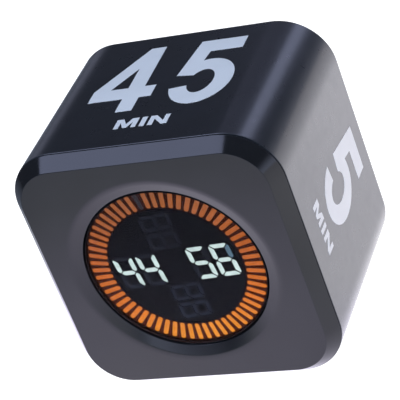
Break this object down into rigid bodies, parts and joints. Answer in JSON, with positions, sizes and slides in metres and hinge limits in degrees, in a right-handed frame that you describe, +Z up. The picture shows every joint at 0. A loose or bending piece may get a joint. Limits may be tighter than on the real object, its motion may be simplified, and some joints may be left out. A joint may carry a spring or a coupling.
{
  "type": "kitchen timer",
  "caption": "Rounded cube timer with a round lit display in front, printed minutes on its long sides, and push buttons, a slider and a charging socket at the rear.",
  "frame": {"origin": "under the middle of the case, on the surface that it stands on", "axes": "+Z up through the side printed 45, -Y out of the display, +X out of the side printed 5"},
  "size_m": [0.06, 0.0456, 0.06],
  "materials": {
    "satin_black": "satin moulded black",
    "gloss_black": "glossy black",
    "smoked_window": "smoked acrylic, polished",
    "display_black": "matt black",
    "amber_glow": "diffusing amber, lit",
    "white_glow": "diffusing white, lit",
    "grey_moulding": "moulded grey",
    "green_board": "solder-masked circuit board",
    "steel": "plated steel",
    "chip_black": "moulded black package",
    "foil": "laminated foil",
    "white_plastic": "white moulding or print",
    "red_wire": "wire insulation",
    "black_wire": "wire insulation"
  },
  "bodies": {
    "case": {"body_tube": "satin_black", "front_bezel": "gloss_black", "display_lens": "smoked_window", "display_face": "display_black", "bar_diffuser": "amber_glow", "digit_diffuser": "white_glow", "light_baffle": "grey_moulding", "display_board": "green_board", "display_screw_1": "steel", "display_screw_2": "steel", "display_screw_3": "steel", "display_screw_4": "steel", "battery_holder": "grey_moulding", "battery_cell": "foil", "holder_screw_1": "steel", "holder_screw_2": "steel", "main_board": "green_board", "minute_switch": "chip_black", "start_switch": "chip_black", "second_switch": "chip_black", "volume_switch": "steel", "usb_socket": "steel", "buzzer": "chip_black", "controller_chip": "chip_black", "motion_sensor": "chip_black", "charger_chip": "chip_black", "battery_plug": "white_plastic", "battery_socket": "white_plastic", "battery_lead_red": "red_wire", "battery_lead_black": "black_wire", "board_screw_1": "steel", "board_screw_2": "steel", "board_screw_3": "steel", "board_screw_4": "steel", "display_socket": "white_plastic", "ribbon_socket": "white_plastic", "ribbon_cable": "white_plastic", "rear_cover": "satin_black", "rear_screw_1": "steel", "rear_screw_2": "steel", "rear_screw_3": "steel", "rear_screw_4": "steel"},
    "start_push": {"start_button": "gloss_black", "start_plunger": "white_plastic"},
    "minute_push": {"minute_button": "gloss_black", "minute_plunger": "white_plastic"},
    "second_push": {"second_button": "gloss_black", "second_plunger": "white_plastic"},
    "slider": {"volume_slider": "gloss_black", "volume_lever": "white_plastic"}
  },
  "joints": [
    {"name": "start_push_travel", "type": "slide", "parent": "case", "child": "start_push", "axis": [0, -1, 0], "range_m": [0, 0.0006], "stiffness_N_per_m": 2500},
    {"name": "minute_push_travel", "type": "slide", "parent": "case", "child": "minute_push", "axis": [0, -1, 0], "range_m": [0, 0.0006], "stiffness_N_per_m": 2500},
    {"name": "second_push_travel", "type": "slide", "parent": "case", "child": "second_push", "axis": [0, -1, 0], "range_m": [0, 0.0006], "stiffness_N_per_m": 2500},
    {"name": "volume_slide", "type": "slide", "parent": "case", "child": "slider", "axis": [1, 0, 0], "range_m": [-0.002, 0.002]}
  ]
}
